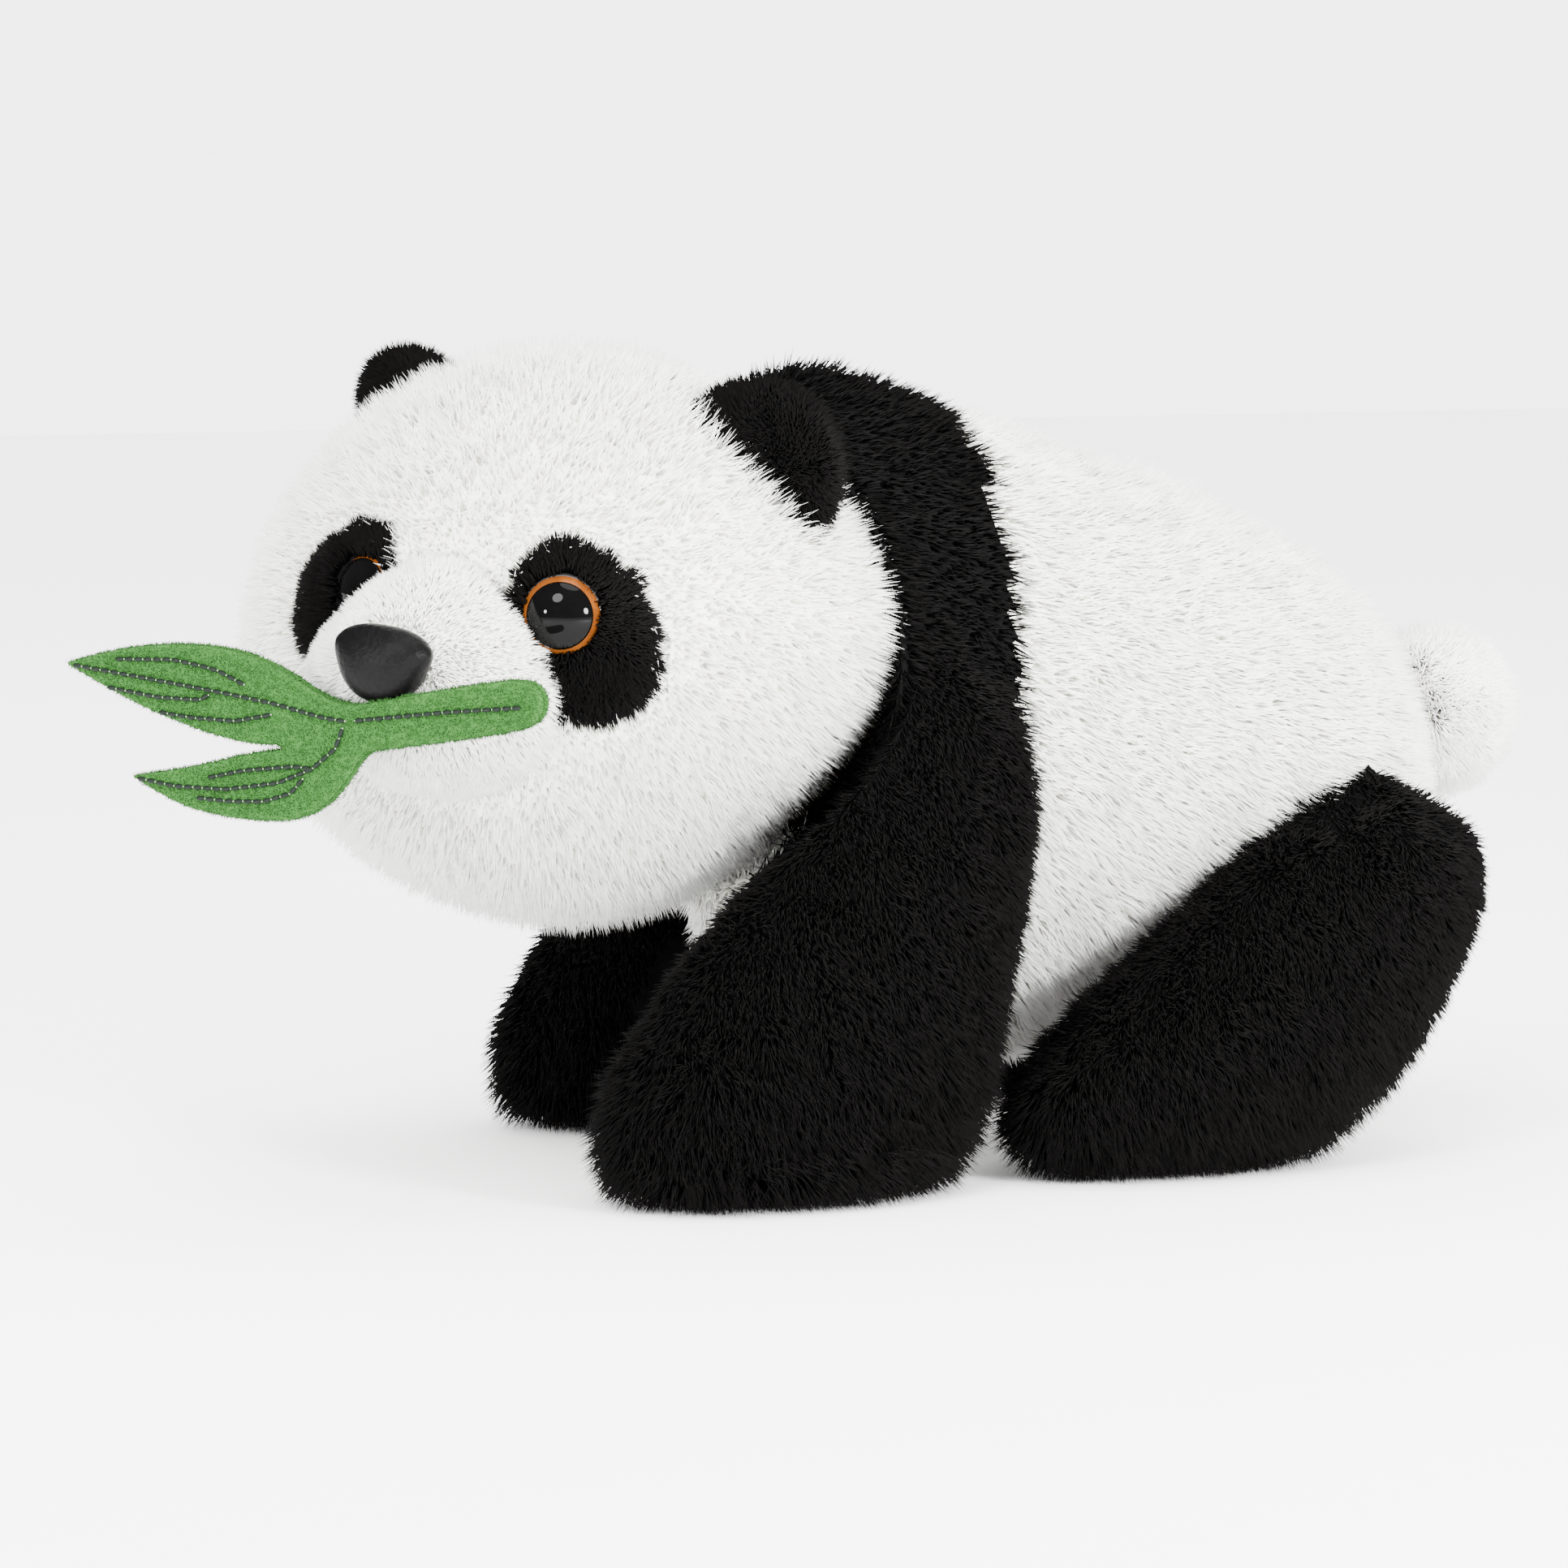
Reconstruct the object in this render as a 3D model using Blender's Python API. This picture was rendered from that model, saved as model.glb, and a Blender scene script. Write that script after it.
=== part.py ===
"""Plush panda standing on all fours with a felt bamboo sprig in its mouth.

The panda faces -Y with its head turned towards its own left (+X); +Z is up and the
soles stand on z = 0. Every fabric skin is a shell that is open at its seam, with the
stuffing inside it as a separate solid.
"""
import math

import bmesh
import bpy
import numpy as np
from mathutils import Matrix, Vector

MM = 0.001

# Driving dimensions, in millimetres
SKIN = 1.6              # thickness of a fabric panel with its pile backing
SEAM_GAP = 0.35         # clearance between neighbouring pieces
STUFFING_GAP = 2.6      # clearance between a skin and its stuffing
LEG_STUFFING_GAP = 3.6  # more in the legs, whose walls slope
JOINT_GAP = 0.9         # clearance across a soft joint
SEGMENTS, RINGS = 20, 12

ORIGIN = Vector((8.5, 5.5, 0))          # middle of the whole footprint, sprig and tail included
HEAD_CENTRE = Vector((0, -45.5, 108))
HEAD_HALF = Vector((61, 52, 56))        # across the cheeks, front to back, height
HEAD_TURN = math.radians(43)            # how far the face looks to the panda's left
HEAD_TILT = math.radians(6.5)           # how far its left cheek hangs lower
CHEEK_SWELL = 0.10                      # the head is wider below its centre than above

# Torso sections: station along Y, underside height, spine height, half width
TORSO = ((-34, 56, 108, 0), (-24, 38, 136, 26), (0, 29, 158, 40), (25, 20, 155, 46),
         (50, 18, 144, 47), (80, 20, 134, 46), (110, 24, 119, 41), (130, 36, 104, 31),
         (143, 62, 78, 0))
BELLY_TAPER = 0.35      # how much the underside narrows
YOKE_FRONT, YOKE_BACK = 1, 34
BELLY_SEAM_POINT, BELLY_SEAM_TILT = Vector((0, 34, 74)), -0.26
SOCKET_WALL = 30        # half width of the torso where the legs are sewn on

# Leg sections: height, centre along Y, half length, half width
FRONT_LEG = ((-2, -17, 31, 15), (0, -17, 33, 16), (7, -17, 40, 18), (21, -14, 42, 19),
             (41, -7, 38, 18), (58, 2, 31, 17), (76, 14, 19, 15), (94, 17, 13, 12),
             (104, 17, 7, 6), (108, 17, 0, 0))
HIND_LEG = ((-2, 66, 29, 15), (0, 66, 31, 16), (7, 67, 37, 18), (21, 74, 41, 20),
            (36, 85, 36, 20), (51, 96, 27, 19), (64, 103, 18, 15), (72, 106, 9, 7),
            (75, 106, 0, 0))
LEG_CENTRE_X = 46
SOLE_LENGTH, SOLE_WIDTH = 21, 9.5       # half sizes of a sole panel
FRONT_HINGE, FRONT_REACH = Vector((0, 0, 74)), 39
HIND_HINGE, HIND_REACH = Vector((0, 96, 42)), 37
HEAD_TURN_ROOM = 3.4    # clearance between the head and the torso as it turns
LEG_SWING_ROOM = 4.5    # clearance between the head and the front legs as they swing
FAR_FRONT_BACK, FAR_HIND_BACK = 6, 30   # the right feet are a step behind the left ones

EYE_SIDE, EYE_RISE, EYE_RADIUS = 22.2, 11, 7.9
EYE_AIM = Vector((0.30, -0.94, 0.10))   # where the left eye looks, in the head's frame
EYE_SHANK, EYE_SHANK_LENGTH = 1.6, 14
DOME_CUT, DOME_WALL = 2.4, 0.7
IRIS_SHARE, PUPIL_SHARE, BACKING_SHARE = 0.76, 0.58, 0.95   # radii as shares of the eye's
WASHER_RADIUS, WASHER_ROOM = 6, 0.4
PATCH_LONG, PATCH_SHORT, PATCH_WIDENING = 17, 13.4, 0.10
PATCH_SLANT, PATCH_OUT, PATCH_DOWN = math.radians(-58), 4.5, 2.5
PATCH_BEHIND, PATCH_DEPTH = 12, 34
NOSE_HALF, NOSE_RISE, NOSE_NARROWING = Vector((9.2, 6.5, 7.2)), 2, 0.28
NOSE_AIM = Vector((0, -1, 0.12))
NOSE_SHANK, NOSE_SHANK_LENGTH, NOSE_WASHER_DEPTH = 1.8, 18, 13
NECK_OFFSET, NECK_OUT = Vector((0, 36, -8)), Vector((0, 0.97, -0.24))
POUCH_CENTRE, POUCH_HALF, POUCH_MOUTH = Vector((0, 78, 48)), Vector((22, 30, 15)), 4
MUZZLE_CENTRE, MUZZLE_HALF = Vector((0, -51, -3)), Vector((23, 27, 20))
EAR_BASE, EAR_RISE, EAR_LAYER = 15.5, 13, 3.2
EAR_ANGLE, EAR_ROOT, EAR_BEHIND = math.radians(44), 57.5, 1
TAIL_CENTRE, TAIL_HALF = Vector((0, 149, 86)), Vector((11.5, 12.5, 13))
TAIL_PIVOT, TAIL_SEAM = Vector((0, 139, 84)), Vector((0, 2, 0))
TAIL_ROOM = 2.4         # clearance between the tail and the rump
FELT = 1.5              # thickness of one felt layer
SPRIG_FRONT = -78       # how far in front of the head's centre the sprig lies

WHITE_PILE = (0.90, 0.91, 0.86)
BLACK_PILE = (0.012, 0.011, 0.012)
GREEN_FELT = (0.09, 0.30, 0.07)


def clear_scene():
    for old in list(bpy.data.objects):
        bpy.data.objects.remove(old)


def material(name, colour, roughness, metallic=0.0, alpha=1.0):
    made = bpy.data.materials.get(name)
    if made:
        return made
    made = bpy.data.materials.new(name)
    made.use_nodes = True
    shader = made.node_tree.nodes["Principled BSDF"]
    shader.inputs["Base Color"].default_value = (*colour, 1)
    shader.inputs["Roughness"].default_value = roughness
    shader.inputs["Metallic"].default_value = metallic
    shader.inputs["Alpha"].default_value = alpha
    return made


def add_piece(name, bm, look, pivot=Vector()):
    """Makes an object from a bmesh in millimetres, with its origin on the pivot."""
    bm.transform(Matrix.Scale(MM, 4) @ Matrix.Translation(-pivot))
    closed = all(edge.is_manifold for edge in bm.edges)
    if closed:
        bmesh.ops.recalc_face_normals(bm, faces=bm.faces)
        if bm.calc_volume(signed=True) < 0:
            bmesh.ops.reverse_faces(bm, faces=bm.faces)
    mesh = bpy.data.meshes.new(name)
    bm.to_mesh(mesh)
    bm.free()
    mesh.materials.append(look)
    mesh.shade_smooth()
    piece = bpy.data.objects.new(name, mesh)
    piece.location = (pivot - ORIGIN) * MM
    bpy.context.collection.objects.link(piece)
    return piece


def add_cutter(name, bm):
    cutter = add_piece(name, bm, material("cutter", (1, 0, 0), 0.5))
    cutter.hide_render = True
    cutter.display_type = "WIRE"
    return cutter


def cut(piece, *cutters, operation="DIFFERENCE"):
    for cutter in cutters:
        modifier = piece.modifiers.new(cutter.name, "BOOLEAN")
        modifier.operation = operation
        modifier.object = cutter


def thicken(piece, thickness=SKIN):
    """Gives an open surface its thickness on the inner side."""
    modifier = piece.modifiers.new("thickness", "SOLIDIFY")
    modifier.thickness = thickness * MM
    modifier.offset = -1


def unit_ball(poles_along="Z"):
    bm = bmesh.new()
    bmesh.ops.create_uvsphere(bm, u_segments=SEGMENTS, v_segments=RINGS, radius=1)
    if poles_along == "Y":
        bmesh.ops.rotate(bm, verts=bm.verts, matrix=Matrix.Rotation(math.pi / 2, 3, "X"))
    return bm


def slice_off(bm, point, outward, fill=False):
    """Removes what lies beyond a plane, and closes the cut where a solid is wanted."""
    parts = bm.verts[:] + bm.edges[:] + bm.faces[:]
    done = bmesh.ops.bisect_plane(bm, geom=parts, plane_co=point, plane_no=outward, clear_outer=True)
    if fill:
        edges = [part for part in done["geom_cut"] if isinstance(part, bmesh.types.BMEdge)]
        bmesh.ops.holes_fill(bm, edges=edges, sides=0)


def ellipsoid(centre, half, turn=Matrix.Identity(3), inset=0.0):
    bm = unit_ball()
    for vert in bm.verts:
        size = half - Vector((inset, inset, inset))
        vert.co = centre + turn @ Vector(vert.co[k] * size[k] for k in range(3))
    return bm


def rod(radius, start, end, segments=20):
    """A closed cylinder between two points."""
    along = end - start
    place = Matrix.Translation((start + end) / 2) @ along.to_track_quat("Z", "Y").to_matrix().to_4x4()
    bm = bmesh.new()
    bmesh.ops.create_cone(bm, cap_ends=True, segments=segments, radius1=radius, radius2=radius,
                          depth=along.length, matrix=place)
    return bm


# ---------------------------------------------------------------- head frame
TURN = Matrix.Rotation(HEAD_TURN, 3, "Z") @ Matrix.Rotation(HEAD_TILT, 3, "Y")


def head_point(side, front, rise):
    """A point in the head's own frame: to its left, ahead of its centre, and up."""
    return HEAD_CENTRE + TURN @ Vector((side, -front, rise))


def head_front(side, rise):
    """How far ahead of its centre the head's surface lies."""
    swell = 1 - CHEEK_SWELL * rise / HEAD_HALF.z
    left = 1 - (side / (HEAD_HALF.x * swell)) ** 2 - (rise / HEAD_HALF.z) ** 2
    return HEAD_HALF.y * math.sqrt(max(left, 0))


def head_ball(inset=0.0):
    bm = unit_ball()
    for vert in bm.verts:
        x, y, z = vert.co
        local = Vector((x * (HEAD_HALF.x - inset) * (1 - CHEEK_SWELL * z), y * (HEAD_HALF.y - inset),
                        z * (HEAD_HALF.z - inset)))
        vert.co = HEAD_CENTRE + TURN @ local
    return bm


# --------------------------------------------------------------------- torso
def torso_ball(inset=0.0):
    """The torso's egg, whose spine, underside and width follow the sections."""
    along, low, high, wide = np.array(TORSO, float).T
    bm = unit_ball("Y")
    for vert in bm.verts:
        x, y, z = vert.co
        ring = max(math.hypot(x, z), 1e-6)
        station = along[0] + inset + (along[-1] - along[0] - 2 * inset) * (y + 1) / 2
        bottom, top = np.interp(station, along, low), np.interp(station, along, high)
        half_width = np.interp(station, along, wide)
        edge = min(1.0, ring * 1.6)
        half_height = max((top - bottom) / 2 - inset, 0.3)
        half_width = max(half_width - inset, 0.3)
        up, across = z / ring, x / ring
        taper = 1 + BELLY_TAPER * min(up, 0)
        vert.co = Vector((across * half_width * taper * edge, station,
                          (top + bottom) / 2 + up * half_height * edge))
    return bm


def belly_seam(offset):
    normal = Vector((0, -BELLY_SEAM_TILT, 1)).normalized()
    return BELLY_SEAM_POINT + normal * offset, normal


def leg_sockets():
    """Flat-bottomed pockets in the torso's sides, round about each leg's hinge."""
    cutters = []
    for hinge, reach, end in ((FRONT_HINGE, FRONT_REACH, "front"), (HIND_HINGE, HIND_REACH, "hind")):
        for side, word in ((1, "left"), (-1, "right")):
            start = hinge + Vector((side * SOCKET_WALL, 0, 0))
            tip = hinge + Vector((side * 80, 0, 0))
            cutters.append(add_cutter(f"{end}_{word}_socket", rod(reach + JOINT_GAP, start, tip, 40)))
    return cutters


def build_torso(head_cutter, tail_cutter):
    white = material("white_plush", WHITE_PILE, 0.95)
    black = material("black_plush", BLACK_PILE, 0.9)
    cutters = leg_sockets() + [head_cutter, tail_cutter]

    yoke = torso_ball()
    slice_off(yoke, Vector((0, YOKE_BACK - SEAM_GAP, 0)), Vector((0, 1, 0)))
    slice_off(yoke, Vector((0, YOKE_FRONT, 0)), Vector((0, -1, 0)))
    point, normal = belly_seam(SEAM_GAP)
    slice_off(yoke, point, -normal)
    yoke = add_piece("shoulder_yoke", yoke, black)

    back = torso_ball()
    slice_off(back, Vector((0, YOKE_BACK + SEAM_GAP, 0)), Vector((0, -1, 0)))
    slice_off(back, point, -normal)
    back = add_piece("back_panel", back, white)

    belly = torso_ball()
    point, normal = belly_seam(-SEAM_GAP)
    slice_off(belly, point, normal)
    belly = add_piece("belly_panel", belly, white)

    for panel in (yoke, back, belly):
        thicken(panel)
        cut(panel, *cutters)

    filling = add_piece("torso_filling", torso_ball(SKIN + STUFFING_GAP), material("fibre", (0.9, 0.9, 0.9), 1.0))
    pouch = ellipsoid(POUCH_CENTRE, POUCH_HALF)
    room = add_cutter("pouch_room", ellipsoid(POUCH_CENTRE, POUCH_HALF, inset=-SEAM_GAP))
    way_out = rod(POUCH_MOUTH, POUCH_CENTRE + Vector((0, 0, POUCH_HALF.z / 2)), POUCH_CENTRE + Vector((0, 0, 110)))
    mouth = add_cutter("pouch_mouth", way_out)
    cut(filling, *cutters, room, mouth)
    add_piece("pellet_pouch", pouch, material("pouch_cloth", (0.8, 0.78, 0.7), 0.9))


# ---------------------------------------------------------------------- head
def build_head():
    white = material("white_plush", WHITE_PILE, 0.95)
    black = material("black_plush", BLACK_PILE, 0.9)
    fibre = material("fibre", (0.9, 0.9, 0.9), 1.0)
    plastic = material("black_plastic", (0.015, 0.015, 0.016), 0.35)

    neck_point, neck_out = HEAD_CENTRE + NECK_OFFSET, NECK_OUT
    skin = head_ball()
    slice_off(skin, neck_point, neck_out)
    skin = add_piece("head_skin", skin, white, HEAD_CENTRE)
    thicken(skin)
    filling = head_ball(SKIN + STUFFING_GAP)
    slice_off(filling, neck_point, neck_out, fill=True)
    filling = add_piece("head_filling", filling, fibre, HEAD_CENTRE)

    muzzle_centre = HEAD_CENTRE + TURN @ MUZZLE_CENTRE
    seam_point, seam_back = head_point(0, HEAD_HALF.y + SEAM_GAP, 0), TURN @ Vector((0, 1, 0))
    muzzle = ellipsoid(muzzle_centre, MUZZLE_HALF, TURN)
    slice_off(muzzle, seam_point, seam_back)
    muzzle = add_piece("muzzle_skin", muzzle, white, HEAD_CENTRE)
    thicken(muzzle)
    core = ellipsoid(muzzle_centre, MUZZLE_HALF, TURN, SKIN + STUFFING_GAP)
    slice_off(core, seam_point, seam_back, fill=True)
    core = add_piece("muzzle_filling", core, fibre, HEAD_CENTRE)

    for side, word in ((1, "left"), (-1, "right")):
        bed = build_eye(side, word, skin, filling, plastic, black)
        cut(muzzle, bed)
        cut(core, bed)
    build_nose(muzzle, core, plastic)


def build_eye(side, word, skin, filling, plastic, black):
    """A safety eye: clear dome, painted ring, pupil, backing with its shank, washer."""
    front = head_front(side * EYE_SIDE, EYE_RISE)
    out = TURN @ Vector((side * EYE_AIM.x, EYE_AIM.y, EYE_AIM.z)).normalized()
    seat = head_point(side * EYE_SIDE, front, EYE_RISE) + out * 1.2
    amber = material("amber_paint", (0.30, 0.10, 0.02), 0.3)
    clear = material("clear_dome", (0.9, 0.9, 0.9), 0.05, alpha=0.35)
    pupil_black = material("pupil_black", (0.004, 0.004, 0.004), 0.2)

    place = Matrix.Translation(seat) @ out.to_track_quat("Z", "Y").to_matrix().to_4x4()
    dome = bmesh.new()
    bmesh.ops.create_uvsphere(dome, u_segments=20, v_segments=10, radius=EYE_RADIUS)
    slice_off(dome, Vector((0, 0, DOME_CUT)), Vector((0, 0, -1)))
    dome.transform(Matrix.Translation(seat - out * 2.2) @ place.to_3x3().to_4x4())
    thicken(add_piece(f"eye_{word}_dome", dome, clear, HEAD_CENTRE), DOME_WALL)

    pupil_radius = EYE_RADIUS * PUPIL_SHARE
    iris = add_piece(f"eye_{word}_iris", rod(EYE_RADIUS * IRIS_SHARE, seat + out * 0.5, seat + out * 1.1, 32),
                     amber, HEAD_CENTRE)
    pupil_hole = rod(pupil_radius + SEAM_GAP, seat - out, seat + out * 3, 32)
    cut(iris, add_cutter(f"eye_{word}_pupil_hole", pupil_hole))
    add_piece(f"eye_{word}_pupil", rod(pupil_radius, seat + out * 0.5, seat + out * 1.4, 32),
              pupil_black, HEAD_CENTRE)

    backing = add_piece(f"eye_{word}_backing", rod(EYE_RADIUS * BACKING_SHARE, seat - out * 1.1, seat - out * 0.2, 32),
                        plastic, HEAD_CENTRE)
    shank = add_cutter(f"eye_{word}_shank", rod(EYE_SHANK, seat - out * EYE_SHANK_LENGTH, seat - out * 0.7))
    cut(backing, shank, operation="UNION")

    washer = add_piece(f"eye_{word}_washer", rod(WASHER_RADIUS, seat - out * 9.6, seat - out * 8.6, 24),
                       plastic, HEAD_CENTRE)
    bore = add_cutter(f"eye_{word}_bore", rod(EYE_SHANK + SEAM_GAP, seat - out * (EYE_SHANK_LENGTH + SEAM_GAP), seat))
    room = add_cutter(f"eye_{word}_room", rod(WASHER_RADIUS + WASHER_ROOM, seat - out * 10, seat + out * 2))
    cut(washer, bore)

    bed = rod(EYE_RADIUS + 0.6, seat - out * 1.5, seat + out * 9, 32)
    bed = add_cutter(f"eye_{word}_bed", bed)
    outline = eye_patch_prism(side, seat, out, 0.0)
    inner = add_cutter(f"eye_{word}_patch_shape", outline)
    outer = add_cutter(f"eye_{word}_patch_hole", eye_patch_prism(side, seat, out, SEAM_GAP))
    patch = head_ball()
    slice_off(patch, HEAD_CENTRE, TURN @ Vector((0, 1, 0)))
    patch = add_piece(f"eye_patch_{word}", patch, black, HEAD_CENTRE)
    thicken(patch)
    cut(patch, inner, operation="INTERSECT")
    cut(patch, bed, bore)
    cut(skin, outer)
    cut(filling, bore, room, bed)
    return bed


def eye_patch_prism(side, seat, out, grow):
    """A slanting rounded teardrop, wider at its lower outer end, drawn out through the head."""
    across = TURN @ Vector((side, 0, 0))
    rise = TURN @ Vector((0, 0, 1))
    bm = bmesh.new()
    count = 26
    ring = []
    for step in range(count):
        angle = 2 * math.pi * step / count
        long, short = math.cos(angle), math.sin(angle)
        along = long * (PATCH_LONG + grow)
        wide = short * (PATCH_SHORT + grow) * (1 + PATCH_WIDENING * long)
        right = along * math.cos(PATCH_SLANT) - wide * math.sin(PATCH_SLANT) + PATCH_OUT
        up = along * math.sin(PATCH_SLANT) + wide * math.cos(PATCH_SLANT) - PATCH_DOWN
        ring.append(bm.verts.new(seat + across * right + rise * up - out * PATCH_BEHIND))
    face = bm.faces.new(ring)
    drawn = bmesh.ops.extrude_face_region(bm, geom=[face])
    moved = [part for part in drawn["geom"] if isinstance(part, bmesh.types.BMVert)]
    bmesh.ops.translate(bm, verts=moved, vec=out * PATCH_DEPTH)
    return bm


def build_nose(muzzle, core, plastic):
    """A moulded three-cornered nose on a shank, with the washer that locks it."""
    tip = head_point(0, -MUZZLE_CENTRE.y + MUZZLE_HALF.y, NOSE_RISE)
    out = TURN @ NOSE_AIM.normalized()
    bm = unit_ball()
    for vert in bm.verts:
        x, y, z = vert.co
        narrow = 1 + NOSE_NARROWING * min(z, 0.4)
        vert.co = tip + TURN @ Vector((x * NOSE_HALF.x * narrow, y * NOSE_HALF.y, z * NOSE_HALF.z))
    nose = add_piece("nose", bm, plastic, HEAD_CENTRE)
    shank = add_cutter("nose_shank", rod(NOSE_SHANK, tip - out * NOSE_SHANK_LENGTH, tip))
    cut(nose, shank, operation="UNION")
    inner, outer = tip - out * NOSE_WASHER_DEPTH, tip - out * (NOSE_WASHER_DEPTH - 1)
    washer = add_piece("nose_washer", rod(WASHER_RADIUS, inner, outer, 24), plastic, HEAD_CENTRE)
    bore_end = tip - out * (NOSE_SHANK_LENGTH + SEAM_GAP)
    bore = add_cutter("nose_bore", rod(NOSE_SHANK + SEAM_GAP, bore_end, tip))
    room_rod = rod(WASHER_RADIUS + WASHER_ROOM, inner - out * WASHER_ROOM, outer + out * WASHER_ROOM)
    room = add_cutter("nose_washer_room", room_rod)
    bed = add_cutter("nose_bed", ellipsoid(tip, NOSE_HALF, TURN, inset=-2 * SEAM_GAP))
    cut(washer, bore)
    cut(muzzle, bed, bore)
    cut(core, room, bore, bed)


def build_ears():
    """Two layers to each ear, folded about the seam that sews it to the head."""
    black = material("black_plush", BLACK_PILE, 0.9)
    for side, word in ((1, "left"), (-1, "right")):
        lean = Vector((side * math.cos(EAR_ANGLE), 0, math.sin(EAR_ANGLE)))
        outward = TURN @ lean
        along = TURN @ Vector((lean.z * side, 0, -abs(lean.x)))
        back = outward.cross(along) * (1 if side < 0 else -1)
        root = HEAD_CENTRE + outward * EAR_ROOT + TURN @ Vector((0, EAR_BEHIND, 0))
        for layer, sign in (("front", -1), ("back", 1)):
            bm = bmesh.new()
            bmesh.ops.create_circle(bm, cap_ends=True, segments=32, radius=1)
            slice_off(bm, Vector(), Vector((0, -1, 0)))
            drawn = bmesh.ops.extrude_face_region(bm, geom=bm.faces[:])
            far = [part for part in drawn["geom"] if isinstance(part, bmesh.types.BMVert)]
            bmesh.ops.translate(bm, verts=far, vec=(0, 0, 1))
            for vert in bm.verts:
                x, y, z = vert.co
                deep = SEAM_GAP / 2 + z * EAR_LAYER * (0.35 + 0.65 * math.sqrt(max(1 - 0.8 * y * y, 0)))
                vert.co = root + along * x * EAR_BASE + outward * y * EAR_RISE + back * sign * deep
            add_piece(f"ear_{word}_{layer}", bm, black, root)


# --------------------------------------------------------------------- limbs
def clear_of_head(point, room):
    """Pushes a point out of the space that the head and its motion need."""
    local = TURN.transposed() @ (point - HEAD_CENTRE)
    swell = 1 + CHEEK_SWELL
    size = HEAD_HALF + Vector((room, room, room))
    depth = Vector((local.x / size.x / swell, local.y / size.y, local.z / size.z)).length
    return point if depth >= 1 else HEAD_CENTRE + TURN @ (local / max(depth, 0.1))


def limb_ball(stations, side, inset, lean):
    """A leg whose inner side is flat where it meets the torso."""
    heights, centres, lengths, widths = np.array(stations, float).T
    bm = unit_ball()
    wall = SOCKET_WALL + JOINT_GAP + inset
    for vert in bm.verts:
        x, y, z = vert.co
        ring = max(math.hypot(x, y), 1e-6)
        height = heights[0] + (heights[-1] - heights[0]) * (z + 1) / 2
        at = np.clip(height + inset * z, heights[0], heights[-1])
        half_length = max(np.interp(at, heights, lengths) - inset, 0.3) * min(1.0, ring * 3)
        half_width = max(np.interp(at, heights, widths) - inset, 0.3) * min(1.0, ring * 3)
        across = max(LEG_CENTRE_X + side * x / ring * half_width, wall)
        shift = lean * (1 - np.clip(height / heights[-1], 0, 1) * 0.6)
        place = Vector((side * across, np.interp(at, heights, centres) + y / ring * half_length + shift,
                        height - inset * z))
        vert.co = clear_of_head(place, LEG_SWING_ROOM + inset)
    return bm


def build_leg(name, stations, side, hinge, lean=0.0):
    pivot = hinge + Vector((side * LEG_CENTRE_X, 0, 0))
    black = material("black_plush", BLACK_PILE, 0.9)
    floor, down = Vector(), Vector((0, 0, -1))

    skin = limb_ball(stations, side, 0, lean)
    slice_off(skin, floor, down)
    thicken(add_piece(f"{name}_skin", skin, black, pivot))

    filling = limb_ball(stations, side, SKIN + LEG_STUFFING_GAP, lean)
    slice_off(filling, Vector((0, 0, SKIN + SEAM_GAP)), down, fill=True)
    add_piece(f"{name}_filling", filling, material("fibre", (0.9, 0.9, 0.9), 1.0), pivot)

    sole = rod(1, Vector(), Vector((0, 0, SKIN)), 28)
    bmesh.ops.scale(sole, verts=sole.verts, vec=(SOLE_WIDTH, SOLE_LENGTH, 1))
    bmesh.ops.translate(sole, verts=sole.verts, vec=(pivot.x, stations[0][1] + lean, 0))
    add_piece(f"{name}_sole", sole, black, pivot)


def build_tail():
    white = material("white_plush", WHITE_PILE, 0.95)
    skin = ellipsoid(TAIL_CENTRE, TAIL_HALF)
    slice_off(skin, TAIL_PIVOT + TAIL_SEAM, Vector((0, -1, 0)))
    thicken(add_piece("tail_skin", skin, white, TAIL_PIVOT))
    filling = ellipsoid(TAIL_CENTRE, TAIL_HALF, inset=SKIN + STUFFING_GAP)
    slice_off(filling, TAIL_PIVOT + TAIL_SEAM, Vector((0, -1, 0)), fill=True)
    add_piece("tail_filling", filling, material("fibre", (0.9, 0.9, 0.9), 1.0), TAIL_PIVOT)


# --------------------------------------------------------------------- sprig
# Felt outline in the sprig's plane: to the head's left, and up, from the head's centre
UPPER_LEAF_TOP = ((-9, -7), (-18, -3.2), (-28, -1), (-40, -1.6), (-53, -4.3), (-66, -9.3))
UPPER_LEAF_UNDER = ((-57, -12.2), (-48, -15), (-34, -17.6), (-24, -18.3), (-15, -15.8), (-8, -13.8))
LOWER_LEAF_TOP = ((-15, -18), (-24, -20.2), (-35, -24.6), (-49, -28.6))
LOWER_LEAF_UNDER = ((-38, -32.4), (-27, -33.1), (-15, -32), (-8, -29.1), (-3, -23.5), (1, -16))
STEM = ((5, -14.8), (18.5, -11.1), (33.5, -6.7), (37.3, -4.2), (38, -0.8), (36.5, 2), (32.5, 3), (17.5, -1.4),
        (4, -5.8), (-3, -7.8))
THREAD_THICKNESS, THREAD_WIDTH = 0.4, 0.6
VEINS = {"stem": ((35, -1.9), (-2, -10.4)), "upper_leaf": ((-8, -10.6), (-60, -9.5)),
         "lower_leaf": ((-14, -23), (-44, -28.2))}


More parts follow.
